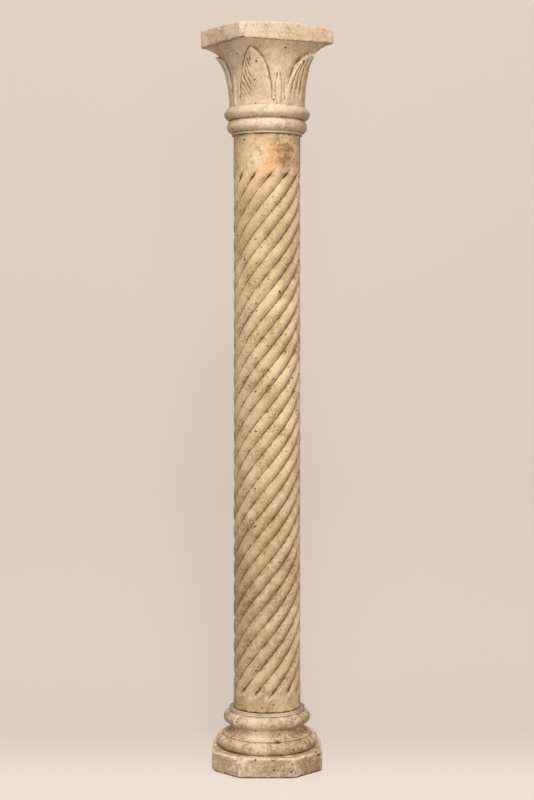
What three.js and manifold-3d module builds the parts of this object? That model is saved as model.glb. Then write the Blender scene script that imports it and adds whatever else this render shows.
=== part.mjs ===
// A free-standing twisted stone column, stacked from three carved blocks: a moulded base on a plinth
// with clipped corners, a shaft cut with spiral reeds, and a leaf capital under a square abacus.
// Millimetres, +Z up, origin at the centre of the underside. The front of the column faces -Y.
import * as THREE from "three";
import { mergeVertices } from "three/addons/utils/BufferGeometryUtils.js";
import Module from "manifold-3d";

const wasm = await Module();
wasm.setup();

// Driving dimensions of the three blocks
const SHAFT_RADIUS = 80;
const BASE_HEIGHT = 138;
const SHAFT_LENGTH = 1364;
const CAPITAL_HEIGHT = 255;

// Plinth and mouldings of the base
const PLINTH_ACROSS = 260;
const PLINTH_CLIP = 65;
const PLINTH_HEIGHT = 47;
const LOWER_TORUS = { radius: 121, foot: 47, top: 76 };
const SCOTIA_LIP = { radius: 105, foot: 76, top: 79.5 };
const SCOTIA_HOLLOW = { radius: 85, height: 82 };
const SCOTIA_TOP = { radius: 89, height: 98.5 };
const UPPER_TORUS = { radius: 103.5, foot: 101.5, top: 130.5 };
const BASE_FILLET = { radius: 90, foot: 132.5 };
const FILLET_RECESS = 87;

// Spiral reeding of the shaft
const REEDS = 12;
const REED_LEAD = 545;
const GROOVE_DEPTH = 7;
const REED_FULLNESS = 2;
const PLAIN_FOOT = 26;
const PLAIN_HEAD = 76;
const RUN_OUT = 22;
const GROOVE_ANGLE_AT_FOOT = 10.1;
const POINTS_PER_REED = 4;
const REEDED_RINGS = 42;

// Necking rings, bell, leaves and abacus of the capital
const NECK_LIP = { radius: 84.5, top: 4 };
const LOWER_RING = { radius: 95.8, root: 85, foot: 5, top: 35.5 };
const UPPER_RING = { radius: 102.5, root: 87, foot: 35.5, top: 66 };
const BELL_NECK = 90;
const BELL_FOOT = 66;
const BELL_SHARE = 0.97;
const BELL_SQUARENESS = 16;
const ABACUS_FOOT = 213.5;
const ABACUS_ROUNDING = 14;
const ABACUS_CORNERS = [
  { angle: -113, reach: 156 },
  { angle: -18, reach: 170 },
  { angle: 70, reach: 154 },
  { angle: 173, reach: 164 },
];
const LEAVES = [
  { angle: -109, halfWidth: 25, tip: 0.88, taper: 3 },
  { angle: -24, halfWidth: 37, tip: 0.85, taper: 2 },
  { angle: 70, halfWidth: 31, tip: 0.86, taper: 2.4 },
  { angle: 171, halfWidth: 33, tip: 0.86, taper: 2.2 },
];
const LEAF_RISE = { foot: 2, tip: 13 };
const DART = { halfWidth: 8, tip: 0.52, rise: 4 };

// Fineness of the round work
const ROUND_SIDES = 36;
const ARC_STEPS = 3;
const BELL_SIDES = 80;
const BELL_RINGS = 13;
const OVERLAP = 8;

const rad = THREE.MathUtils.degToRad;
const { clamp, lerp } = THREE.MathUtils;

// A geometry as a solid that can be joined to another.
function toSolid(geometry) {
  const bare = geometry.clone();
  bare.deleteAttribute("normal");
  bare.deleteAttribute("uv");
  const merged = mergeVertices(bare, 1e-3);
  return new wasm.Manifold(
    new wasm.Mesh({
      numProp: 3,
      vertProperties: merged.attributes.position.array,
      triVerts: Uint32Array.from(merged.index.array),
    }),
  );
}

// Several overlapping geometries carved from one block.
function joined(...geometries) {
  const mesh = geometries
    .map(toSolid)
    .reduce((whole, piece) => whole.add(piece))
    .getMesh();
  const geometry = new THREE.BufferGeometry();
  geometry.setAttribute(
    "position",
    new THREE.BufferAttribute(Float32Array.from(mesh.vertProperties), 3),
  );
  geometry.setIndex(new THREE.BufferAttribute(Uint32Array.from(mesh.triVerts), 1));
  geometry.computeVertexNormals();
  return geometry;
}

// A profile of radius and height, turned about the column's axis.
function turned(profile) {
  const lathe = new THREE.LatheGeometry(profile.getPoints(ARC_STEPS), ROUND_SIDES);
  return lathe.rotateX(Math.PI / 2);
}

// Adds a half-round moulding that bulges from the root radius to the full radius.
function addHalfRound(profile, root, moulding) {
  const middle = (moulding.foot + moulding.top) / 2;
  const halfHeight = (moulding.top - moulding.foot) / 2;
  const reach = moulding.radius - root;
  profile.lineTo(root, moulding.foot);
  profile.absellipse(root, middle, reach, halfHeight, -Math.PI / 2, Math.PI / 2, false, 0);
}

// The octagonal plinth: a square with its four corners clipped.
function plinth() {
  const half = PLINTH_ACROSS / 2;
  const clip = half - PLINTH_CLIP;
  const outline = new THREE.Shape();
  outline.moveTo(clip, -half);
  outline.lineTo(half, -clip);
  outline.lineTo(half, clip);
  outline.lineTo(clip, half);
  outline.lineTo(-clip, half);
  outline.lineTo(-half, clip);
  outline.lineTo(-half, -clip);
  outline.lineTo(-clip, -half);
  outline.closePath();
  return new THREE.ExtrudeGeometry(outline, { depth: PLINTH_HEIGHT, bevelEnabled: false });
}

// Two half-round rolls with a hollow between them, and a thin fillet under the shaft.
function baseMouldings() {
  const lowerReach = (LOWER_TORUS.top - LOWER_TORUS.foot) / 2;
  const upperReach = (UPPER_TORUS.top - UPPER_TORUS.foot) / 2;
  const profile = new THREE.Path();
  profile.moveTo(0, PLINTH_HEIGHT - OVERLAP);
  profile.lineTo(LOWER_TORUS.radius - lowerReach, PLINTH_HEIGHT - OVERLAP);
  addHalfRound(profile, LOWER_TORUS.radius - lowerReach, LOWER_TORUS);
  profile.lineTo(SCOTIA_LIP.radius, SCOTIA_LIP.foot);
  profile.lineTo(SCOTIA_LIP.radius, SCOTIA_LIP.top);
  profile.quadraticCurveTo(
    SCOTIA_HOLLOW.radius,
    SCOTIA_HOLLOW.height,
    SCOTIA_TOP.radius,
    SCOTIA_TOP.height,
  );
  addHalfRound(profile, UPPER_TORUS.radius - upperReach, UPPER_TORUS);
  profile.lineTo(FILLET_RECESS, UPPER_TORUS.top);
  profile.lineTo(BASE_FILLET.radius, BASE_FILLET.foot);
  profile.lineTo(BASE_FILLET.radius, BASE_HEIGHT);
  profile.lineTo(0, BASE_HEIGHT);
  return turned(profile);
}

// How far the groove is cut at a share of the way across one reed, from 0 on the crown to 1 in the groove.
function grooveShare(across) {
  return Math.abs(2 * across - 1) ** REED_FULLNESS;
}

// Section of the shaft: twelve rounded reeds that meet in sharp grooves.
function reededSection() {
  const count = REEDS * POINTS_PER_REED;
  const points = Array.from({ length: count }, (_, i) => {
    const angle = (i / count) * 2 * Math.PI;
    const radius = SHAFT_RADIUS - GROOVE_DEPTH * grooveShare((i / POINTS_PER_REED) % 1);
    return new THREE.Vector2(radius * Math.cos(angle), radius * Math.sin(angle));
  });
  return new THREE.Shape(points);
}

// Heights of the shaft's rings: plain ends, short run-outs and an even stretch of reeding.
function ringHeights() {
  const first = PLAIN_FOOT;
  const last = SHAFT_LENGTH - PLAIN_HEAD;
  const reeded = Array.from({ length: REEDED_RINGS + 1 }, (_, i) =>
    lerp(first + RUN_OUT, last - RUN_OUT, i / REEDED_RINGS),
  );
  return [0, first, ...reeded, last, SHAFT_LENGTH];
}

// The section drawn up the axis, turned as it rises, with the grooves running out at both ends.
function shaftGeometry() {
  const heights = ringHeights();
  const steps = heights.length - 1;
  const geometry = new THREE.ExtrudeGeometry(reededSection(), {
    depth: steps,
    steps,
    bevelEnabled: false,
  });
  const position = geometry.attributes.position;
  for (let i = 0; i < position.count; i++) {
    const height = heights[Math.round(position.getZ(i))];
    const fromFoot = (height - PLAIN_FOOT) / RUN_OUT;
    const fromHead = (SHAFT_LENGTH - PLAIN_HEAD - height) / RUN_OUT;
    const cut = clamp(Math.min(fromFoot, fromHead), 0, 1);
    const twisted = clamp(height, PLAIN_FOOT, SHAFT_LENGTH - PLAIN_HEAD);
    const angle =
      Math.atan2(position.getY(i), position.getX(i)) +
      rad(GROOVE_ANGLE_AT_FOOT) +
      (2 * Math.PI * twisted) / REED_LEAD;
    const reeded = Math.hypot(position.getX(i), position.getY(i));
    const radius = lerp(SHAFT_RADIUS, reeded, cut);
    position.setXYZ(i, radius * Math.cos(angle), radius * Math.sin(angle), height);
  }
  geometry.computeVertexNormals();
  return geometry;
}

// The thin lip on the shaft and the two necking rings above it.
function neckingRings() {
  const profile = new THREE.Path();
  profile.moveTo(0, 0);
  profile.lineTo(NECK_LIP.radius, 0);
  profile.lineTo(NECK_LIP.radius, NECK_LIP.top);
  addHalfRound(profile, LOWER_RING.root, LOWER_RING);
  addHalfRound(profile, UPPER_RING.root, UPPER_RING);
  profile.lineTo(0, UPPER_RING.top);
  return turned(profile);
}

// Signed angle in degrees from one direction to another, between -180 and 180.
function turnBetween(from, to) {
  return THREE.MathUtils.euclideanModulo(to - from + 180, 360) - 180;
}

// The abacus's corners, anticlockwise from the nearest one.
const abacusCorners = ABACUS_CORNERS.map(({ angle, reach }) =>
  new THREE.Vector2(reach, 0).rotateAround(new THREE.Vector2(), rad(angle)),
);

// Each side of the abacus as the direction it faces and its distance from the axis.
const abacusSides = abacusCorners.map((corner, i) => {
  const along = abacusCorners[(i + 1) % abacusCorners.length].clone().sub(corner).normalize();
  const outward = new THREE.Vector2(along.y, -along.x);
  return { facing: outward.angle(), distance: corner.dot(outward) };
});

// Radius of the soft-cornered square that the bell opens into.
function squareRadius(angle) {
  const nearness = abacusSides.map(({ facing, distance }) =>
    Math.max(Math.cos(rad(angle) - facing) / distance, 0),
  );
  const total = nearness.reduce((sum, near) => sum + near ** BELL_SQUARENESS, 0);
  return BELL_SHARE * total ** (-1 / BELL_SQUARENESS);
}

// Height of a broad pointed leaf above the bell, folded along its midrib, with a tip that curls out.
function leafRise(leaf, angle, rise) {
  const climb = rise / leaf.tip;
  if (climb >= 1) return 0;
  const halfWidth = leaf.halfWidth * (1 - climb ** leaf.taper) ** 0.85;
  const across = Math.abs(turnBetween(leaf.angle, angle)) / halfWidth;
  if (across >= 1) return 0;
  const fold = lerp(1, 0.55, across);
  return lerp(LEAF_RISE.foot, LEAF_RISE.tip, climb ** 1.5) * fold;
}

// Height of a small pointed dart in the gap between a leaf and the next one round.
function dartRise(leaf, next, angle, rise) {
  const sideOfLeaf = leaf.angle + leaf.halfWidth;
  const gap = THREE.MathUtils.euclideanModulo(next.angle - next.halfWidth - sideOfLeaf, 360);
  const halfWidth = DART.halfWidth * (1 - rise / DART.tip);
  const offset = Math.abs(turnBetween(sideOfLeaf + gap / 2, angle));
  return offset < halfWidth ? DART.rise * (1 - offset / halfWidth) : 0;
}

// Height of the carving above the plain bell.
function carvingRise(angle, rise) {
  const heights = LEAVES.map((leaf, i) => {
    const next = LEAVES[(i + 1) % LEAVES.length];
    return Math.max(leafRise(leaf, angle, rise), dartRise(leaf, next, angle, rise));
  });
  return Math.max(...heights);
}

// Radius of the carved bell: round at the neck, flaring late into the square abacus.
function bellRadius(angle, height) {
  const rise = clamp((height - BELL_FOOT) / (ABACUS_FOOT - BELL_FOOT), 0, 1);
  const flare = 0.25 * rise ** 2 + 0.75 * rise ** 7;
  const plain = lerp(BELL_NECK, squareRadius(angle), flare);
  return plain + carvingRise(angle, rise);
}

// The bell as a cylinder whose rings crowd towards the top and follow the carved radius.
function bell() {
  const foot = BELL_FOOT - OVERLAP;
  const top = ABACUS_FOOT + OVERLAP;
  const geometry = new THREE.CylinderGeometry(1, 1, 1, BELL_SIDES, BELL_RINGS);
  geometry.rotateX(Math.PI / 2);
  const position = geometry.attributes.position;
  for (let i = 0; i < position.count; i++) {
    const x = position.getX(i);
    const y = position.getY(i);
    const share = 1 - (0.5 - position.getZ(i)) ** 1.4;
    const height = lerp(foot, top, share);
    const angle = Math.atan2(y, x);
    const radius = Math.hypot(x, y) * bellRadius(THREE.MathUtils.radToDeg(angle), height);
    position.setXYZ(i, radius * Math.cos(angle), radius * Math.sin(angle), height);
  }
  return geometry;
}

// The hand-squared slab on top, with its corners worn round.
function abacus() {
  const outline = new THREE.Shape();
  abacusCorners.forEach((corner, i) => {
    const before = abacusCorners.at(i - 1).clone().sub(corner).setLength(ABACUS_ROUNDING);
    const after = abacusCorners[(i + 1) % abacusCorners.length].clone().sub(corner);
    after.setLength(ABACUS_ROUNDING);
    const start = corner.clone().add(before);
    const end = corner.clone().add(after);
    if (i === 0) outline.moveTo(start.x, start.y);
    else outline.lineTo(start.x, start.y);
    outline.quadraticCurveTo(corner.x, corner.y, end.x, end.y);
  });
  outline.closePath();
  const slab = new THREE.ExtrudeGeometry(outline, {
    depth: CAPITAL_HEIGHT - ABACUS_FOOT,
    bevelEnabled: false,
    curveSegments: ARC_STEPS,
  });
  return slab.translate(0, 0, ABACUS_FOOT);
}

// One block of the column as a named mesh standing at a height.
function block(name, geometry, color, height) {
  const stone = new THREE.MeshStandardMaterial({ color, roughness: 0.85, metalness: 0 });
  const mesh = new THREE.Mesh(geometry, stone);
  mesh.name = name;
  mesh.position.z = height;
  return mesh;
}

const column = new THREE.Group();
column.name = "twisted_column";
column.add(
  block("base", joined(plinth(), baseMouldings()), 0xc4ab85, 0),
  block("shaft", shaftGeometry(), 0xcdb183, BASE_HEIGHT),
  block("capital", joined(neckingRings(), bell(), abacus()), 0xcdb896, BASE_HEIGHT + SHAFT_LENGTH),
);

export default column;
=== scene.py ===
import math

import bmesh
import bpy
from mathutils import Matrix, Vector, noise


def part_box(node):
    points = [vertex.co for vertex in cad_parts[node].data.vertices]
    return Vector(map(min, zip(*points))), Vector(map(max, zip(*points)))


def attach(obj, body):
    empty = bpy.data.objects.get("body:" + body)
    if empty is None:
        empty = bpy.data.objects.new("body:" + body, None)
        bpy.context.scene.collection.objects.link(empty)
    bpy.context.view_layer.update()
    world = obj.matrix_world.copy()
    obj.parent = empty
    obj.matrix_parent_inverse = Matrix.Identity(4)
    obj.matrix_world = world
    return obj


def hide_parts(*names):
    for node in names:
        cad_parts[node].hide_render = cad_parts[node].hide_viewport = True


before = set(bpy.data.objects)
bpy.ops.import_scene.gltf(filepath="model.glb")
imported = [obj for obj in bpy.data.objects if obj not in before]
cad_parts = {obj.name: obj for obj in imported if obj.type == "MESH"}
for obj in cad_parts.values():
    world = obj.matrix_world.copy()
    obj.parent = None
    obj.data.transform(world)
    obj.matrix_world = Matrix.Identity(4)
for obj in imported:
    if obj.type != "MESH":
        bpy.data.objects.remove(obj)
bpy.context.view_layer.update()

# Base
# The bottom block, cut from one piece of tan limestone: an octagonal plinth, a wide roll, a hollow and a
# narrower roll under a thin fillet. The profile is turned, the plinth cut to eight sides, the block worn.
base_low, base_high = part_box("base")
BASE_TOP = base_high.z
BASE_SIDES = 320
RING_SPACING = 0.0018
PLINTH_HALF = base_high.x
PLINTH_HEIGHT = 0.047
PLINTH_CLIP = 0.065
PLINTH_SOFTNESS = 100
PLINTH_FOOT_ARRIS = 0.004
PLINTH_TOP_ARRIS = 0.0045
ROLL_RISE = 0.0145
LOWER_ROLL = (0.1065, 0.0615)
LIP_RADIUS = 0.105
HOLLOW_CENTRE = (LIP_RADIUS, 0.0935)
HOLLOW_REACH = (0.018, 0.014)
UPPER_ROLL = (0.089, 0.116)
FILLET_RADIUS = 0.090
FILLET_FOOT = 0.1325
FILLET_NOTCH = (0.003, 0.001)
BAND_UNDER_ROLL = 0.0028
TOUCH = 1e-5


def arc(centre, reach, start, end, steps):
    """Points of an elliptical arc in the profile plane, from one angle to another in degrees."""
    angles = [math.radians(start + (end - start) * i / steps) for i in range(steps + 1)]
    return [(centre[0] + reach[0] * math.cos(a), centre[1] + reach[1] * math.sin(a)) for a in angles]


def smoothstep(low, high, value):
    """0 below low, 1 above high and a smooth rise between them."""
    share = min(max((value - low) / (high - low), 0.0), 1.0)
    return share * share * (3 - 2 * share)


def bearing(place):
    """Angle round the column's axis, from the front towards the right."""
    return math.atan2(place.x, -place.y)


def turned_block(profile, sides, foot=0.0):
    """A closed block: the profile of radius and height is cut into short edges and spun round the axis."""
    block = bmesh.new()
    points = [block.verts.new((radius, 0, foot + height)) for radius, height in profile]
    edges = [block.edges.new(pair) for pair in zip(points, points[1:])]
    for edge in edges:
        cuts = int(edge.calc_length() / RING_SPACING)
        if cuts and min(end.co.x for end in edge.verts) > 0:
            bmesh.ops.subdivide_edges(block, edges=[edge], cuts=cuts)
    bmesh.ops.spin(
        block,
        geom=block.verts[:] + block.edges[:],
        cent=(0, 0, 0),
        axis=(0, 0, 1),
        angle=math.tau,
        steps=sides,
        use_merge=True,
    )
    bmesh.ops.remove_doubles(block, verts=block.verts[:], dist=TOUCH)
    bmesh.ops.recalc_face_normals(block, faces=block.faces[:])
    return block


def set_radius(vert, radius):
    """Moves a vertex straight out from the axis to a radius."""
    flat = vert.co.xy
    if flat.length > 0:
        vert.co.xy = flat * (radius / flat.length)


def round_place(angle, radius, height):
    """A place by its angle from the front in degrees, its distance from the axis and its height."""
    turn = math.radians(angle)
    return Vector((radius * math.sin(turn), -radius * math.cos(turn), height))


CHIP_GRAIN = 140
CHIP_MEAN = 0.7
CHIP_STRAY = 0.6
CHIP_SLOPE = 0.6


def knock(block, chips):
    """Breaks shallow ragged chips out of the block; a chip is a place, a size and a depth."""
    block.normal_update()
    for place, size, depth in chips:
        for vert in block.verts:
            near = 1 - (vert.co - place).length / size
            if near > 0:
                ragged = CHIP_MEAN + CHIP_STRAY * noise.noise(vert.co * CHIP_GRAIN)
                vert.co -= vert.normal * depth * ragged * smoothstep(0, CHIP_SLOPE, near)


SOFTENING_ROUNDS = 14
ARRIS_BULGE = (0, 0.0012)
HOLLOW_BULGE = (0.0001, 0.0009)
DIRT_SHADE_REACH = 0.007
BED_REACH = 0.005
NICK_GRAIN = 55
NICK_RANGE = (0.1, 0.5)
WAVE_GRAIN = 14
RIPPLE_GRAIN = 60
RIPPLE_SHARE = 0.45


def weather(block, beds, dirt_shade_lines, seed, rubbing, unevenness):
    """Wears the arrises and roughens the faces away from the beds, and notes arrises and the hollows and
    lines that take dirt and painted shade.
    """
    soft = block.copy()
    for _ in range(SOFTENING_ROUNDS):
        bmesh.ops.smooth_vert(
            soft, verts=soft.verts[:], factor=0.5, use_axis_x=True, use_axis_y=True, use_axis_z=True
        )
    block.normal_update()
    arris = block.verts.layers.float.new("arris")
    hollow = block.verts.layers.float.new("hollow")
    shift = Vector((seed, seed * 0.7, seed * 1.3))
    for vert, softened in zip(block.verts, soft.verts):
        bulge = (vert.co - softened.co).dot(vert.normal)
        # The listed lines take dirt and painted shade: dark joints, and the painted contact shadow under
        # the plinth.
        dirt_shade_shares = [dirt_and_shade * smoothstep(DIRT_SHADE_REACH, 0, abs(vert.co.z - line)) for line, dirt_and_shade in dirt_shade_lines]
        dirt_shade_share = max(dirt_shade_shares, default=0)
        vert[arris] = smoothstep(*ARRIS_BULGE, bulge) * (1 - dirt_shade_share)
        vert[hollow] = max(smoothstep(*HOLLOW_BULGE, -bulge), dirt_shade_share)
        nicks = smoothstep(*NICK_RANGE, noise.noise(vert.co * NICK_GRAIN + shift))
        worn = rubbing + (1 - rubbing) * nicks
        waves = noise.noise(vert.co * WAVE_GRAIN + shift)
        waves += RIPPLE_SHARE * noise.noise(vert.co * RIPPLE_GRAIN + shift)
        off_bed = min(smoothstep(0, BED_REACH, abs(vert.co.z - bed)) for bed in beds)
        vert.co -= vert.normal * max(bulge, 0) * worn * off_bed
        vert.co += vert.normal * waves * unevenness * off_bed
    soft.free()


def shown(name, block, finish):
    """The finished block as an object with smooth faces and its own finish."""
    for face in block.faces:
        face.smooth = True
    mesh = bpy.data.meshes.new(name)
    block.to_mesh(mesh)
    block.free()
    mesh.materials.append(finish)
    piece = bpy.data.objects.new(name, mesh)
    bpy.context.scene.collection.objects.link(piece)
    return piece


def side_reach(sides, angle, softness):
    """Distance from the axis to a soft-cornered outline; each side is a bearing and a distance."""
    total = sum(max(math.cos(angle - facing) / distance, 0) ** softness for facing, distance in sides)
    return total ** (-1 / softness)


clipped_distance = (2 * PLINTH_HALF - PLINTH_CLIP) / math.sqrt(2)
plinth_sides = [(i * math.pi / 4, clipped_distance if i % 2 else PLINTH_HALF) for i in range(8)]
roll_reach = (ROLL_RISE, ROLL_RISE)
foot_arris = (PLINTH_FOOT_ARRIS, PLINTH_FOOT_ARRIS)
top_arris = (PLINTH_TOP_ARRIS, PLINTH_TOP_ARRIS)
base_profile = (
    [(0, 0), (LOWER_ROLL[0], 0)]
    + arc((PLINTH_HALF - PLINTH_FOOT_ARRIS, PLINTH_FOOT_ARRIS), foot_arris, -90, 0, 3)
    + arc((PLINTH_HALF - PLINTH_TOP_ARRIS, PLINTH_HEIGHT - PLINTH_TOP_ARRIS), top_arris, 0, 90, 4)
    + arc(LOWER_ROLL, roll_reach, -90, 90, 16)
    + [(LIP_RADIUS, LOWER_ROLL[1] + ROLL_RISE)]
    + arc(HOLLOW_CENTRE, HOLLOW_REACH, 270, 160, 14)
    + [(FILLET_RADIUS, UPPER_ROLL[1] - ROLL_RISE - BAND_UNDER_ROLL)]
    + arc(UPPER_ROLL, roll_reach, -90, 90, 16)
    + [(FILLET_RADIUS - FILLET_NOTCH[0], FILLET_FOOT - FILLET_NOTCH[1])]
    + [(FILLET_RADIUS, FILLET_FOOT), (FILLET_RADIUS, BASE_TOP), (0, BASE_TOP)]
)
base_block = turned_block(base_profile, BASE_SIDES)
for vert in base_block.verts:
    out = vert.co.xy.length
    if vert.co.z < PLINTH_HEIGHT + TOUCH and out > LOWER_ROLL[0]:
        share = (out - LOWER_ROLL[0]) / (PLINTH_HALF - LOWER_ROLL[0])
        reach = side_reach(plinth_sides, bearing(vert.co), PLINTH_SOFTNESS)
        set_radius(vert, out + share * (reach - PLINTH_HALF))
BASE_CHIPS = (
    (round_place(-27, 0.142, PLINTH_HEIGHT), 0.014, 0.004),
    (round_place(26, 0.143, 0.012), 0.012, 0.003),
    (round_place(6, 0.131, PLINTH_HEIGHT), 0.012, 0.003),
    (round_place(61, 0.144, PLINTH_HEIGHT), 0.018, 0.005),
    (round_place(-66, 0.143, 0.004), 0.015, 0.004),
    (round_place(14, 0.104, 0.078), 0.010, 0.002),
)
knock(base_block, BASE_CHIPS)
# Darkened lines: painted contact shadow at the foot of the plinth and a faint dark joint at the top.
base_dirt_shade_lines = ((base_low.z, 1.0), (BASE_TOP, 0.2))
weather(base_block, (base_low.z, BASE_TOP), base_dirt_shade_lines, seed=3.1, rubbing=0.35, unevenness=0.00055)


def put(tree, kind, inputs=None, **settings):
    """Adds a node; inputs are values or sockets to link, by name or place."""
    node = tree.nodes.new(kind)
    for name, value in settings.items():
        setattr(node, name, value)
    for name, value in (inputs or {}).items():
        if isinstance(value, bpy.types.NodeSocket):
            tree.links.new(value, node.inputs[name])
        else:
            node.inputs[name].default_value = value
    return node


def cloud(tree, place, scale, detail, roughness):
    """A soft noise value between 0 and 1."""
    inputs = {"Vector": place, "Scale": scale, "Detail": detail, "Roughness": roughness}
    return put(tree, "ShaderNodeTexNoise", inputs).outputs[0]


def ramp(tree, value, low, high, start=0.0, end=1.0):
    """A value carried smoothly from one range to another."""
    inputs = {"Value": value, 1: low, 2: high, 3: start, 4: end}
    return put(tree, "ShaderNodeMapRange", inputs, interpolation_type="SMOOTHSTEP").outputs[0]


def work(tree, operation, first, second):
    """One step of arithmetic between two values."""
    return put(tree, "ShaderNodeMath", {0: first, 1: second}, operation=operation).outputs[0]


def vector_work(tree, operation, inputs):
    """One step of arithmetic on vectors."""
    return put(tree, "ShaderNodeVectorMath", inputs, operation=operation)


def tint(tree, share, under, over, blend="MIX"):
    """One colour laid over another by a share."""
    inputs = {0: share, 6: under, 7: over}
    return put(tree, "ShaderNodeMix", inputs, data_type="RGBA", blend_type=blend).outputs[2]


def new_group(name, inputs, outputs):
    """An empty shader group with named sockets, its inner input and output nodes."""
    tree = bpy.data.node_groups.new(name, "ShaderNodeTree")
    for socket, kind in inputs.items():
        tree.interface.new_socket(socket, in_out="INPUT", socket_type="NodeSocket" + kind)
    for socket, kind in outputs.items():
        tree.interface.new_socket(socket, in_out="OUTPUT", socket_type="NodeSocket" + kind)
    given = tree.nodes.new("NodeGroupInput").outputs
    result = tree.nodes.new("NodeGroupOutput").inputs
    return tree, given, result


CHALK = (0.90, 0.79, 0.63, 1)


def stone_body_group():
    """Limestone colour: pale and tan clouds, chalky flecks, patches of brown bloom and a sandy grain."""
    inputs = {"Place": "Vector", "Pale": "Color", "Tan": "Color", "Brown": "Color", "Bloom": "Float"}
    tree, given, result = new_group("limestone body", inputs, {"Color": "Color", "Grain": "Float"})
    place = given["Place"]
    broad = cloud(tree, place, scale=12.0, detail=6.0, roughness=0.65)
    colour = tint(tree, ramp(tree, broad, low=0.38, high=0.62), given["Pale"], given["Tan"])
    flecks = cloud(tree, place, scale=130.0, detail=4.0, roughness=0.7)
    colour = tint(tree, ramp(tree, flecks, low=0.58, high=0.7, end=0.5), colour, CHALK)
    patches = cloud(tree, place, scale=24.0, detail=6.0, roughness=0.7)
    patches = ramp(tree, patches, low=0.43, high=0.62)
    speckle = cloud(tree, place, scale=200.0, detail=3.0, roughness=0.7)
    speckle = ramp(tree, speckle, low=0.46, high=0.62)
    bloom = work(tree, "MULTIPLY", work(tree, "MULTIPLY", patches, speckle), given["Bloom"])
    colour = tint(tree, bloom, colour, given["Brown"])
    grain = cloud(tree, place, scale=420.0, detail=4.0, roughness=0.7)
    shade = ramp(tree, grain, low=0.3, high=0.7, start=0.84, end=1.1)
    tree.links.new(tint(tree, 1.0, colour, shade, "MULTIPLY"), result["Color"])
    tree.links.new(grain, result["Grain"])
    return tree


PIT_EDGE_GRAIN = 300.0
PIT_EDGE_STRAY = 0.004
NOISE_MEAN = (0.5, 0.5, 0.5)


def pits_group():
    """Small open pits of the stone: ragged holes of many sizes that take painted shade, some cells left
    whole.
    """
    inputs = {"Place": "Vector", "Cells": "Float", "Share": "Float"}
    tree, given, result = new_group("limestone pits", inputs, {"Mask": "Float"})
    place = given["Place"]
    wobble = put(tree, "ShaderNodeTexNoise", {"Vector": place, "Scale": PIT_EDGE_GRAIN}).outputs[1]
    offset = vector_work(tree, "SUBTRACT", {0: wobble, 1: NOISE_MEAN}).outputs[0]
    offset = vector_work(tree, "SCALE", {0: offset, "Scale": PIT_EDGE_STRAY}).outputs[0]
    ragged = vector_work(tree, "ADD", {0: place, 1: offset}).outputs[0]
    cells = put(tree, "ShaderNodeTexVoronoi", {"Vector": ragged, "Scale": given["Cells"]})
    chance = put(tree, "ShaderNodeSeparateColor", {0: cells.outputs["Color"]})
    kept = work(tree, "LESS_THAN", chance.outputs[0], given["Share"])
    size = ramp(tree, chance.outputs[1], low=0.0, high=1.0, start=0.07, end=0.23)
    depth = work(tree, "DIVIDE", cells.outputs["Distance"], size)
    hole = ramp(tree, depth, low=1.0, high=0.55)
    tree.links.new(work(tree, "MULTIPLY", hole, kept), result["Mask"])
    return tree


def uneven_group():
    """A mask from the mesh, such as hollows or arrises, broken up as hands and weather leave it."""
    inputs = {"Place": "Vector", "Amount": "Float", "Reach": "Float"}
    tree, given, result = new_group("uneven mask", inputs, {"Mask": "Float"})
    broken = cloud(tree, given["Place"], scale=48.0, detail=4.0, roughness=0.65)
    broken = ramp(tree, broken, low=0.3, high=0.7, start=0.35, end=1.25)
    mask = work(tree, "MULTIPLY", work(tree, "MULTIPLY", given["Amount"], broken), given["Reach"])
    tree.links.new(ramp(tree, mask, low=0.12, high=0.9), result["Mask"])
    return tree


def stain_group():
    """A ragged round stain about a centre, broken by a fine spatter."""
    inputs = {"Place": "Vector", "Centre": "Vector", "Radius": "Float"}
    tree, given, result = new_group("stain", inputs, {"Mask": "Float"})
    away = vector_work(tree, "DISTANCE", {0: given["Place"], 1: given["Centre"]})
    share = work(tree, "DIVIDE", away.outputs["Value"], given["Radius"])
    ragged = cloud(tree, given["Place"], scale=70.0, detail=5.0, roughness=0.7)
    ragged = ramp(tree, ragged, low=0.25, high=0.75, start=-0.7, end=0.7)
    edge = ramp(tree, work(tree, "ADD", share, ragged), low=1.05, high=0.15)
    spatter = cloud(tree, given["Place"], scale=170.0, detail=4.0, roughness=0.7)
    spatter = ramp(tree, spatter, low=0.36, high=0.6, start=0.35, end=1.0)
    tree.links.new(work(tree, "MULTIPLY", edge, spatter), result["Mask"])
    return tree


STONE_BODY = stone_body_group()
PITS = pits_group()
UNEVEN = uneven_group()
STAIN = stain_group()
# Near-black brown for the painted shade in the pits.
PIT_SHADE_COLOUR = (0.08, 0.046, 0.022, 1)
SMALL_PIT_CELLS = 160.0
SMALL_PIT_SHADE = 0.75
LARGE_PIT_CELLS = 70.0
GRAIN_RELIEF = 0.35
RELIEF_STRENGTH = 0.85
RELIEF_DEPTH = 0.002
STONE_SHEEN = 0.25


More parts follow.
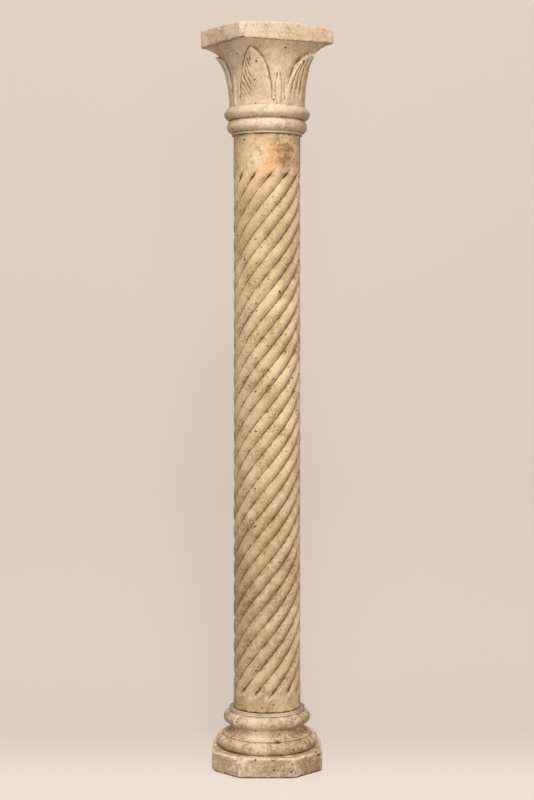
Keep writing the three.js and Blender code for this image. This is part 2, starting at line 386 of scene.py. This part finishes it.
def limestone(name, tones, bloom, dirt_and_shade, dirt_and_shade_reach, rub, rub_reach, pits, stains=()):
    """Matt weathered limestone with its own tones, dirt and painted shade in the hollows, rubbed arrises,
    pits with painted shade and stains.
    """
    finish = bpy.data.materials.new(name)
    finish.use_nodes = True
    tree = finish.node_tree
    shader = tree.nodes["Principled BSDF"]
    place = put(tree, "ShaderNodeTexCoord").outputs["Object"]
    hollow = put(tree, "ShaderNodeAttribute", attribute_name="hollow").outputs["Fac"]
    arris = put(tree, "ShaderNodeAttribute", attribute_name="arris").outputs["Fac"]
    body_inputs = {"Place": place, "Bloom": bloom, **dict(zip(("Pale", "Tan", "Brown"), tones))}
    body = put(tree, "ShaderNodeGroup", body_inputs, node_tree=STONE_BODY)
    colour = body.outputs["Color"]

    def grouped(group, inputs):
        """The mask that one of the shader groups gives here."""
        return put(tree, "ShaderNodeGroup", {"Place": place, **inputs}, node_tree=group).outputs["Mask"]

    for centre, radius, stain_colour, strength in stains:
        mask = grouped(STAIN, {"Centre": centre, "Radius": radius})
        colour = tint(tree, work(tree, "MULTIPLY", mask, strength), colour, stain_colour)
    # Dirt and painted shade in the hollows, the grooves and along the listed lines.
    grime_and_shade = grouped(UNEVEN, {"Amount": hollow, "Reach": dirt_and_shade_reach})
    colour = tint(tree, grime_and_shade, colour, dirt_and_shade)
    rubbed = grouped(UNEVEN, {"Amount": arris, "Reach": rub_reach})
    colour = tint(tree, rubbed, colour, rub)
    small = grouped(PITS, {"Cells": SMALL_PIT_CELLS, "Share": pits[0]})
    large = grouped(PITS, {"Cells": LARGE_PIT_CELLS, "Share": pits[1]})
    holes = work(tree, "MAXIMUM", work(tree, "MULTIPLY", small, SMALL_PIT_SHADE), large)
    # The pits are darkened with painted shade; they have depth only in the bump.
    colour = tint(tree, holes, colour, PIT_SHADE_COLOUR)
    tree.links.new(colour, shader.inputs["Base Color"])
    grain = body.outputs["Grain"]
    roughness = ramp(tree, grain, low=0.3, high=0.7, start=0.78, end=0.95)
    tree.links.new(roughness, shader.inputs["Roughness"])
    surface = work(tree, "SUBTRACT", work(tree, "MULTIPLY", grain, GRAIN_RELIEF), holes)
    relief = {"Strength": RELIEF_STRENGTH, "Distance": RELIEF_DEPTH, "Height": surface}
    bump = put(tree, "ShaderNodeBump", relief)
    tree.links.new(bump.outputs["Normal"], shader.inputs["Normal"])
    shader.inputs["Specular IOR Level"].default_value = STONE_SHEEN
    return finish


BASE_TONES = ((0.87, 0.70, 0.52, 1), (0.69, 0.515, 0.335, 1), (0.25, 0.145, 0.065, 1))
# Dark brown for dirt and painted shade in the hollows and under the rolls.
BASE_DIRT_AND_SHADE = (0.17, 0.10, 0.048, 1)
BASE_RUB = (0.85, 0.70, 0.51, 1)
BASE_BROWN = (0.36, 0.228, 0.092, 1)
BASE_STAINS = (
    (round_place(50, 0.13, 0.022), 0.095, BASE_BROWN, 0.9),
    (round_place(-58, 0.13, 0.022), 0.090, BASE_BROWN, 0.8),
    (round_place(0, 0.13, 0.015), 0.080, BASE_BROWN, 0.6),
    (round_place(60, 0.10, 0.115), 0.080, BASE_BROWN, 0.9),
    (round_place(-75, 0.10, 0.115), 0.065, BASE_BROWN, 0.75),
)
base_stone = limestone(
    "base stone",
    BASE_TONES,
    bloom=0.75,
    dirt_and_shade=BASE_DIRT_AND_SHADE,
    dirt_and_shade_reach=1.7,
    rub=BASE_RUB,
    rub_reach=0.75,
    pits=(0.45, 0.3),
    stains=BASE_STAINS,
)
base = shown("base_block", base_block, base_stone)
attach(base, "root")
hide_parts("base")

# Shaft
# The middle block, one long drum of yellow tan limestone with spiral reeds cut into it, stopped short of
# plain bands at both ends. A ring is screwed up the axis and the grooves are cut along the screw.
shaft_low, shaft_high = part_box("shaft")
SHAFT_RADIUS = shaft_high.x
SHAFT_LENGTH = shaft_high.z - shaft_low.z
SHAFT_RINGS = 310
REEDS = 12
REED_SIDES = 20
REED_LEAD = 0.545
REED_FULLNESS = 2.0
GROOVE_DEPTH = 0.0082
DEPTH_DRIFT = 0.18
DRIFT_GRAIN = 9
GROOVE_FOOT = shaft_low.z + 0.024
GROOVE_HEAD = shaft_high.z - 0.075
GROOVE_RUN_OUT = 0.028
FOOT_STRAY = 0.006
HEAD_STRAY = 0.008
HAND_STEP = 7.3
TIP_FADE = 1.7
LEAST_CUT = 1e-3
GROOVE_BEARING = 0.22
GROOVE_BEARING_HEIGHT = 1.050

turn_per_metre = math.tau / REED_LEAD
groove_at_foot = GROOVE_BEARING + turn_per_metre * (shaft_low.z - GROOVE_BEARING_HEIGHT)
shaft_block = bmesh.new()
bmesh.ops.create_circle(
    shaft_block,
    cap_ends=False,
    segments=REEDS * REED_SIDES,
    radius=SHAFT_RADIUS,
    matrix=Matrix.Translation((0, 0, shaft_low.z)) @ Matrix.Rotation(groove_at_foot, 4, "Z"),
)
foot_rim = shaft_block.edges[:]
screwed = bmesh.ops.spin(
    shaft_block,
    geom=shaft_block.verts[:] + foot_rim,
    cent=(0, 0, 0),
    axis=(0, 0, 1),
    dvec=(0, 0, SHAFT_LENGTH / SHAFT_RINGS),
    angle=turn_per_metre * SHAFT_LENGTH,
    steps=SHAFT_RINGS,
)
head_rim = [edge for edge in screwed["geom_last"] if isinstance(edge, bmesh.types.BMEdge)]
for rim in (foot_rim, head_rim):
    bmesh.ops.edgeloop_fill(shaft_block, edges=rim)
bmesh.ops.recalc_face_normals(shaft_block, faces=shaft_block.faces[:])
for vert in shaft_block.verts:
    height = vert.co.z
    angle = bearing(vert.co) - GROOVE_BEARING - turn_per_metre * (height - GROOVE_BEARING_HEIGHT)
    reed = (angle * REEDS / math.tau) % REEDS
    across = abs(2 * (reed % 1) - 1)
    hand = noise.noise((round(reed) % REEDS * HAND_STEP, 0.5, 0.5))
    cut = smoothstep(0, GROOVE_RUN_OUT, height - GROOVE_FOOT - FOOT_STRAY * hand)
    cut *= smoothstep(0, GROOVE_RUN_OUT, GROOVE_HEAD + HEAD_STRAY * hand - height)
    depth = GROOVE_DEPTH * (1 + DEPTH_DRIFT * noise.noise(vert.co * DRIFT_GRAIN))
    into = max(across - 1 + cut, 0) / max(cut, LEAST_CUT)
    set_radius(vert, SHAFT_RADIUS - depth * cut**TIP_FADE * into**REED_FULLNESS)
shaft_beds = (shaft_low.z, shaft_high.z)
shaft_dirt_shade_lines = ((shaft_low.z, 0.8), (shaft_high.z, 0.8))
weather(shaft_block, shaft_beds, shaft_dirt_shade_lines, seed=8.4, rubbing=0.12, unevenness=0.0005)

SHAFT_TONES = ((0.76, 0.57, 0.345, 1), (0.60, 0.415, 0.22, 1), (0.24, 0.135, 0.055, 1))
# Dark brown for dirt and painted shade in the grooves and at the joints.
SHAFT_DIRT_AND_SHADE = (0.14, 0.078, 0.032, 1)
SHAFT_RUB = (0.84, 0.68, 0.46, 1)
OCHRE = (0.76, 0.44, 0.17, 1)
RUST = (0.25, 0.125, 0.045, 1)
GREY = (0.36, 0.30, 0.23, 1)
SHAFT_STAINS = (
    (round_place(10, SHAFT_RADIUS, 1.455), 0.058, OCHRE, 1.0),
    (round_place(-2, SHAFT_RADIUS, 1.415), 0.046, OCHRE, 0.7),
    (round_place(-18, SHAFT_RADIUS, 1.448), 0.032, CHALK, 0.6),
    (round_place(33, SHAFT_RADIUS, 1.468), 0.034, RUST, 1.0),
    (round_place(29, SHAFT_RADIUS, 1.438), 0.024, RUST, 0.9),
    (round_place(15, SHAFT_RADIUS, 1.486), 0.015, GREY, 0.9),
    (round_place(-6, SHAFT_RADIUS, 0.158), 0.045, RUST, 0.45),
    (round_place(-75, SHAFT_RADIUS, 0.42), 0.180, RUST, 0.5),
    (round_place(60, SHAFT_RADIUS, 0.62), 0.140, RUST, 0.35),
    (round_place(70, SHAFT_RADIUS, 1.22), 0.120, RUST, 0.3),
)
shaft_stone = limestone(
    "shaft stone",
    SHAFT_TONES,
    bloom=0.9,
    dirt_and_shade=SHAFT_DIRT_AND_SHADE,
    dirt_and_shade_reach=1.6,
    rub=SHAFT_RUB,
    rub_reach=0.55,
    pits=(0.5, 0.3),
    stains=SHAFT_STAINS,
)
shaft = shown("shaft_block", shaft_block, shaft_stone)
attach(shaft, "root")
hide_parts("shaft")

# Capital
# The top block, carved from one piece of paler limestone: two necking rings over a thin lip, a bell with
# four broad leaves and small darts between them, and a not quite square abacus. Turned, then carved.
capital_low, capital_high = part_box("capital")
CAPITAL_SIDES = 360
CAPITAL_FOOT = capital_low.z
CAPITAL_HEIGHT = capital_high.z - capital_low.z
NECK_LIP = (0.0848, 0.0036)
NECK_RECESS = (0.0815, 0.0052)
LOWER_RING = ((0.0845, 0.0206), (0.0113, 0.0150))
UPPER_RING = ((0.087, 0.0508), (0.0155, 0.0152))
NECK_RADIUS = 0.0898
BELL_FOOT = 0.0662
BELL_SHARE = 0.97
BELL_SOFTNESS = 16
BELL_FLARE = ((0.25, 2), (0.75, 7))
ABACUS_FOOT = 0.2136
ABACUS_RADIUS = 0.12
ABACUS_CORNERS = ((-23, 0.156), (72, 0.170), (160, 0.154), (263, 0.164))
ABACUS_SOFTNESS = 26
ABACUS_ARRIS = 0.003
ABACUS_FLAT = 0.8
ABACUS_WEAR = ((72, 0.009), (-23, 0.005))
ABACUS_WEAR_REACH = (0.08, 0.17)
LEAVES = (
    {"bearing": math.radians(-19), "half": math.radians(25), "tip": 0.88, "taper": 3.0, "stroked": True},
    {"bearing": math.radians(66), "half": math.radians(37), "tip": 0.85, "taper": 2.0, "stroked": False},
    {"bearing": math.radians(160), "half": math.radians(31), "tip": 0.86, "taper": 2.4, "stroked": True},
    {"bearing": math.radians(261), "half": math.radians(33), "tip": 0.86, "taper": 2.2, "stroked": False},
)
LEAF_PAIRS = tuple(zip(LEAVES, LEAVES[1:] + LEAVES[:1]))

abacus_corners = [round_place(angle, reach, 0) for angle, reach in ABACUS_CORNERS]
abacus_sides = []
for corner, following in zip(abacus_corners, abacus_corners[1:] + abacus_corners[:1]):
    outward = (following - corner).cross(Vector((0, 0, 1))).normalized()
    abacus_sides.append((bearing(outward), corner.dot(outward)))


def turn_between(start, end):
    """Signed angle from one bearing to another, within half a turn."""
    return (end - start + math.pi) % math.tau - math.pi


def mound(offset, width):
    """A smooth mound, 1 at no offset and next to 0 beyond two widths."""
    return math.exp(-((offset / width) ** 2))


VEIN_DEPTH = 0.0024
VEIN_STRAY = 0.25
VEIN_RISE = (0.02, 0.2)
VEIN_RIM = (1, 0.8)
VEIN_SHARPNESS = 1.5
STROKE_SLANT = 0.42
STROKE_SPACING = 0.12
STROKE_START = (0.1, 0.3)
LEFT_HALF = (0, -0.03)
LINES_A_HALF = 4
LINE_START = (0.1, 0.25)


def vein_depth(leaf, offset, across, rise):
    """Depth of the chisel strokes on a leaf: slanting on a left half, or long lines on both halves."""
    stray = VEIN_STRAY * noise.noise((offset * 9, rise * 7, leaf["bearing"]))
    if leaf["stroked"]:
        wave = math.cos(math.tau * ((rise - STROKE_SLANT * across) / STROKE_SPACING + stray))
        field = smoothstep(*STROKE_START, across) * smoothstep(*LEFT_HALF, offset)
    else:
        wave = math.cos(math.tau * (across * LINES_A_HALF + stray))
        field = smoothstep(*LINE_START, across)
    field *= smoothstep(*VEIN_RISE, rise) * smoothstep(*VEIN_RIM, across)
    return VEIN_DEPTH * (0.5 + 0.5 * wave) ** VEIN_SHARPNESS * field


LEAF_RISE = (0.0008, 0.013)
LEAF_SWELL = 1.5
LEAF_SHOULDER = 0.85
LEAF_FOLD = 0.45
LEAF_EDGE = (-0.002, 0.0045)
LEAF_LEAST_HALF = 0.02
LEAF_RIM = 0.0014
LEAF_RIM_PLACE = (0.005, 0.003)
LEAF_RIM_RISE = (0.15, 0.6)
LEAF_TRENCH = (0.0048, 0.0095)
LEAF_TRENCH_RISE = (0.2, 0.75)
SUNK_SHARE = 0.22
SUNK_HALF = (0.01, -0.03)


def leaf_carving(leaf, angle, rise, radius):
    """Height of one leaf above the bell and depth of the trench cut round it."""
    climb = rise / leaf["tip"]
    offset = turn_between(leaf["bearing"], angle)
    half = leaf["half"] * max(1 - climb ** leaf["taper"], 0) ** LEAF_SHOULDER
    inset = (half - abs(offset)) * radius
    if climb > 1:
        inset = -math.hypot(offset * radius, (rise - leaf["tip"]) * (ABACUS_FOOT - BELL_FOOT))
    trench_depth, trench_width = LEAF_TRENCH
    trench = trench_depth * mound(inset, trench_width) * smoothstep(*LEAF_TRENCH_RISE, rise)
    edge = smoothstep(*LEAF_EDGE, inset)
    if edge == 0:
        return 0, trench
    across = min(abs(offset) / max(half, LEAF_LEAST_HALF), 1)
    swell = LEAF_RISE[0] + (LEAF_RISE[1] - LEAF_RISE[0]) * min(climb, 1) ** LEAF_SWELL
    sunk_half = SUNK_SHARE * smoothstep(*SUNK_HALF, offset) if leaf["stroked"] else 0
    rim_inset, rim_width = LEAF_RIM_PLACE
    rim = LEAF_RIM * mound(inset - rim_inset, rim_width) * smoothstep(*LEAF_RIM_RISE, rise)
    height = swell * (1 - LEAF_FOLD * across - sunk_half) + rim - vein_depth(leaf, offset, across, rise)
    return height * edge, trench


DART_HALF = math.radians(6)
DART_TIP = 0.54
DART_RISE = 0.0045
DART_FOOT = 0.35
DART_BELLY = 2.6
DART_POINT = 4
DART_SLOPE = 0.6
DART_GROOVE = 0.002
DART_GROOVE_PLACE = 1.7 * DART_HALF
DART_GROOVE_WIDTH = 0.25 * DART_HALF
DART_GROOVE_FOOT = (0.02, 0.12)
DART_GROOVE_HEAD = (0.42, 0.3)


def dart_carving(leaf, following, angle, rise):
    """Height of the small pointed dart in the gap between two leaves, with a groove down each side."""
    side = leaf["bearing"] + leaf["half"]
    gap = (following["bearing"] - following["half"] - side) % math.tau
    climb = min(rise / DART_TIP, 1)
    half = DART_HALF * (DART_FOOT + DART_BELLY * climb * (1 - climb)) * (1 - climb**DART_POINT)
    offset = abs(turn_between(side + gap / 2, angle))
    height = DART_RISE * smoothstep(0, DART_SLOPE, 1 - offset / half) if offset < half else 0
    groove = DART_GROOVE * mound(offset - DART_GROOVE_PLACE, DART_GROOVE_WIDTH)
    return height - groove * smoothstep(*DART_GROOVE_FOOT, rise) * smoothstep(*DART_GROOVE_HEAD, rise)


TRENCH_FADE = (0.002, 0)


def bell_reach(angle, height):
    """Radius of the carved bell at an angle and a height above the capital's foot."""
    rise = (height - BELL_FOOT) / (ABACUS_FOOT - BELL_FOOT)
    flare = sum(share * rise**power for share, power in BELL_FLARE)
    opening = BELL_SHARE * side_reach(abacus_sides, angle, BELL_SOFTNESS)
    plain = NECK_RADIUS + (opening - NECK_RADIUS) * flare
    carvings = [leaf_carving(leaf, angle, rise, plain) for leaf in LEAVES]
    darts = [dart_carving(leaf, following, angle, rise) for leaf, following in LEAF_PAIRS]
    raised = max(lift for lift, _ in carvings) + max(darts) + min(darts)
    trench = max(depth for _, depth in carvings) * smoothstep(*TRENCH_FADE, raised)
    return plain + raised - trench


abacus_edge = ABACUS_RADIUS - ABACUS_ARRIS
abacus_arris = (ABACUS_ARRIS, ABACUS_ARRIS)
capital_profile = (
    [(0, 0), (NECK_LIP[0], 0), NECK_LIP, NECK_RECESS]
    + arc(*LOWER_RING, -90, 90, 14)
    + arc(*UPPER_RING, -90, 80, 14)
    + [(NECK_RADIUS, BELL_FOOT), (NECK_RADIUS, ABACUS_FOOT)]
    + arc((abacus_edge, ABACUS_FOOT + ABACUS_ARRIS), abacus_arris, -90, 0, 3)
    + arc((abacus_edge, CAPITAL_HEIGHT - ABACUS_ARRIS), abacus_arris, 0, 90, 3)
    + [(ABACUS_RADIUS * ABACUS_FLAT, CAPITAL_HEIGHT), (0, CAPITAL_HEIGHT)]
)
capital_block = turned_block(capital_profile, CAPITAL_SIDES, CAPITAL_FOOT)
for vert in capital_block.verts:
    height = vert.co.z - CAPITAL_FOOT
    if height < BELL_FOOT:
        continue
    out = vert.co.xy.length
    angle = bearing(vert.co)
    slab = side_reach(abacus_sides, angle, ABACUS_SOFTNESS)
    if height <= ABACUS_FOOT + TOUCH:
        bell = bell_reach(angle, height)
        share = (out - NECK_RADIUS) / (ABACUS_RADIUS - NECK_RADIUS)
        set_radius(vert, bell + share * (slab - bell))
    else:
        set_radius(vert, out * slab / ABACUS_RADIUS)
        upper = (height - ABACUS_FOOT) / (CAPITAL_HEIGHT - ABACUS_FOOT)
        for corner_bearing, wear in ABACUS_WEAR:
            towards = vert.co.dot(round_place(corner_bearing, 1, 0))
            vert.co.z -= wear * upper * smoothstep(*ABACUS_WEAR_REACH, towards)
abacus_foot = CAPITAL_FOOT + ABACUS_FOOT
capital_top = CAPITAL_FOOT + CAPITAL_HEIGHT
CAPITAL_CHIPS = (
    (round_place(-23, 0.151, abacus_foot), 0.012, 0.003),
    (round_place(-8, 0.139, abacus_foot), 0.010, 0.003),
    (round_place(50, 0.140, abacus_foot), 0.012, 0.003),
    (round_place(71, 0.163, capital_top - 0.01), 0.016, 0.004),
    (round_place(-60, 0.131, capital_top), 0.014, 0.004),
)
knock(capital_block, CAPITAL_CHIPS)
weather(capital_block, (CAPITAL_FOOT,), (), seed=5.7, rubbing=0.2, unevenness=0.0006)

CAPITAL_TONES = ((0.76, 0.60, 0.425, 1), (0.64, 0.475, 0.305, 1), (0.31, 0.19, 0.095, 1))
# Dark brown for dirt and painted shade in the hollows of the carving.
CAPITAL_DIRT_AND_SHADE = (0.22, 0.13, 0.062, 1)
CAPITAL_RUB = (0.92, 0.78, 0.59, 1)
# Tan patches: stains, and painted shade that darkens the bell face.
CAPITAL_TAN_AND_SHADE = (0.50, 0.345, 0.19, 1)
CAPITAL_STAINS = (
    (round_place(25, 0.105, CAPITAL_FOOT + 0.175), 0.085, CAPITAL_TAN_AND_SHADE, 0.6),
    (round_place(-20, 0.100, CAPITAL_FOOT + 0.100), 0.045, CAPITAL_TAN_AND_SHADE, 0.5),
    (round_place(-50, 0.110, CAPITAL_FOOT + 0.165), 0.060, CAPITAL_TAN_AND_SHADE, 0.2),
    (round_place(75, 0.105, CAPITAL_FOOT + 0.110), 0.055, CAPITAL_TAN_AND_SHADE, 0.5),
    (round_place(-65, 0.100, CAPITAL_FOOT + 0.048), 0.040, CAPITAL_TAN_AND_SHADE, 0.8),
    (round_place(65, 0.100, CAPITAL_FOOT + 0.048), 0.030, CAPITAL_TAN_AND_SHADE, 0.6),
    (round_place(170, 0.105, CAPITAL_FOOT + 0.150), 0.070, CAPITAL_TAN_AND_SHADE, 0.5),
    # The chalk patch on the front of the lower ring is painted light that lifts the shade under the upper
    # ring.
    (round_place(0, 0.095, CAPITAL_FOOT + 0.016), 0.060, CHALK, 0.65),
)
capital_stone = limestone(
    "capital stone",
    CAPITAL_TONES,
    bloom=0.65,
    dirt_and_shade=CAPITAL_DIRT_AND_SHADE,
    dirt_and_shade_reach=0.95,
    rub=CAPITAL_RUB,
    rub_reach=0.45,
    pits=(0.45, 0.3),
    stains=CAPITAL_STAINS,
)
capital = shown("capital_block", capital_block, capital_stone)
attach(capital, "root")
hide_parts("capital")

# Studio
# A pale seamless sweep of paper that runs along the floor and curves up behind the column. From behind it
# is see-through, so that the column can be looked at from any side.
SWEEP_HALF_WIDTH = 30.0
SWEEP_FRONT = -30.0
SWEEP_BEND = 0.32
SWEEP_RADIUS = 0.55
SWEEP_TOP = 6.0
SWEEP_STEPS = 24
sweep_mesh = bmesh.new()
bend = arc((SWEEP_BEND, SWEEP_RADIUS), (SWEEP_RADIUS, SWEEP_RADIUS), -90, 0, SWEEP_STEPS)
run = [(SWEEP_FRONT, 0)] + bend + [(SWEEP_BEND + SWEEP_RADIUS, SWEEP_TOP)]
left = [sweep_mesh.verts.new((-SWEEP_HALF_WIDTH, y, z)) for y, z in run]
right = [sweep_mesh.verts.new((SWEEP_HALF_WIDTH, y, z)) for y, z in run]
for i in range(len(run) - 1):
    sweep_mesh.faces.new((left[i], right[i], right[i + 1], left[i + 1]))
# The paper glows with painted light of its own, brighter on the floor than on the wall; the stone gets only
# part of that glow.
PAPER = (0.20, 0.18, 0.16, 1)
FLOOR_GLOW = (0.66, 0.59, 0.525, 1)
WALL_GLOW = (0.515, 0.455, 0.40, 1)
GLOW_TURN = (-0.3, 0.45)
GLOW_ON_STONE = 0.35
paper = bpy.data.materials.new("paper")
paper.use_nodes = True
paper_tree = paper.node_tree
paper_shader = paper_tree.nodes["Principled BSDF"]
paper_shader.inputs["Base Color"].default_value = PAPER
paper_shader.inputs["Roughness"].default_value = 1.0
paper_shader.inputs["Specular IOR Level"].default_value = 0.0
paper_place = put(paper_tree, "ShaderNodeTexCoord").outputs["Object"]
paper_depth = put(paper_tree, "ShaderNodeSeparateXYZ", {0: paper_place}).outputs["Y"]
glow = tint(paper_tree, ramp(paper_tree, paper_depth, *GLOW_TURN), FLOOR_GLOW, WALL_GLOW)
paper_tree.links.new(glow, paper_shader.inputs["Emission Color"])
looked_at = put(paper_tree, "ShaderNodeLightPath").outputs["Is Camera Ray"]
glow_strength = ramp(paper_tree, looked_at, 0.0, 1.0, GLOW_ON_STONE, 1.0)
paper_tree.links.new(glow_strength, paper_shader.inputs["Emission Strength"])
behind = put(paper_tree, "ShaderNodeNewGeometry").outputs["Backfacing"]
clear = put(paper_tree, "ShaderNodeBsdfTransparent")
seen = put(paper_tree, "ShaderNodeMixShader", {0: behind, 1: paper_shader.outputs[0], 2: clear.outputs[0]})
paper_tree.links.new(seen.outputs[0], paper_tree.nodes["Material Output"].inputs["Surface"])
sweep = shown("sweep", sweep_mesh, paper)

# Light
# A weak warm light from all round and three soft lamps: the strong one overhead, a weaker one at the front
# and a faint one at the left that lifts the shaded side.
AIR_COLOUR = (1.0, 0.96, 0.92, 1)
AIR_STRENGTH = 0.4
LAMP_COLOUR = (1.0, 0.97, 0.93)
world = bpy.data.worlds.new("studio")
world.use_nodes = True
world.node_tree.nodes["Background"].inputs["Color"].default_value = AIR_COLOUR
world.node_tree.nodes["Background"].inputs["Strength"].default_value = AIR_STRENGTH
bpy.context.scene.world = world


def softbox(name, place, target, size, power):
    """A square soft light that faces a target."""
    light = bpy.data.lights.new(name, "AREA")
    light.shape = "SQUARE"
    light.size = size
    light.energy = power
    light.color = LAMP_COLOUR
    box = bpy.data.objects.new(name, light)
    box.location = place
    box.rotation_euler = (Vector(target) - Vector(place)).to_track_quat("-Z", "Y").to_euler()
    bpy.context.scene.collection.objects.link(box)


softbox("overhead", (0.1, -2.8, 5.2), (0, 0, 0.9), size=1.6, power=150)
softbox("front", (0.3, -3.4, 2.0), (0, 0, 0.9), size=1.4, power=50)
softbox("left fill", (-2.4, -2.4, 2.0), (0, 0, 1.1), size=1.6, power=10)

# Camera
# A long lens at chest height, held level, with the frame dropped to take in the whole column. Its height
# and distance were fitted to the photo's perspective.
CAMERA_DISTANCE = 3.832
EYE_HEIGHT = 1.050
FRAME_DROP = 75 / 800
LENS = 72
SENSOR_WIDTH = 36
camera = bpy.data.cameras.new("camera")
camera.lens = LENS
camera.sensor_width = SENSOR_WIDTH
camera.shift_y = -FRAME_DROP
viewer = bpy.data.objects.new("camera", camera)
viewer.location = (0, -CAMERA_DISTANCE, EYE_HEIGHT)
viewer.rotation_euler = (math.pi / 2, 0, 0)
bpy.context.scene.collection.objects.link(viewer)
bpy.context.scene.camera = viewer
bpy.context.scene.view_settings.view_transform = "Standard"
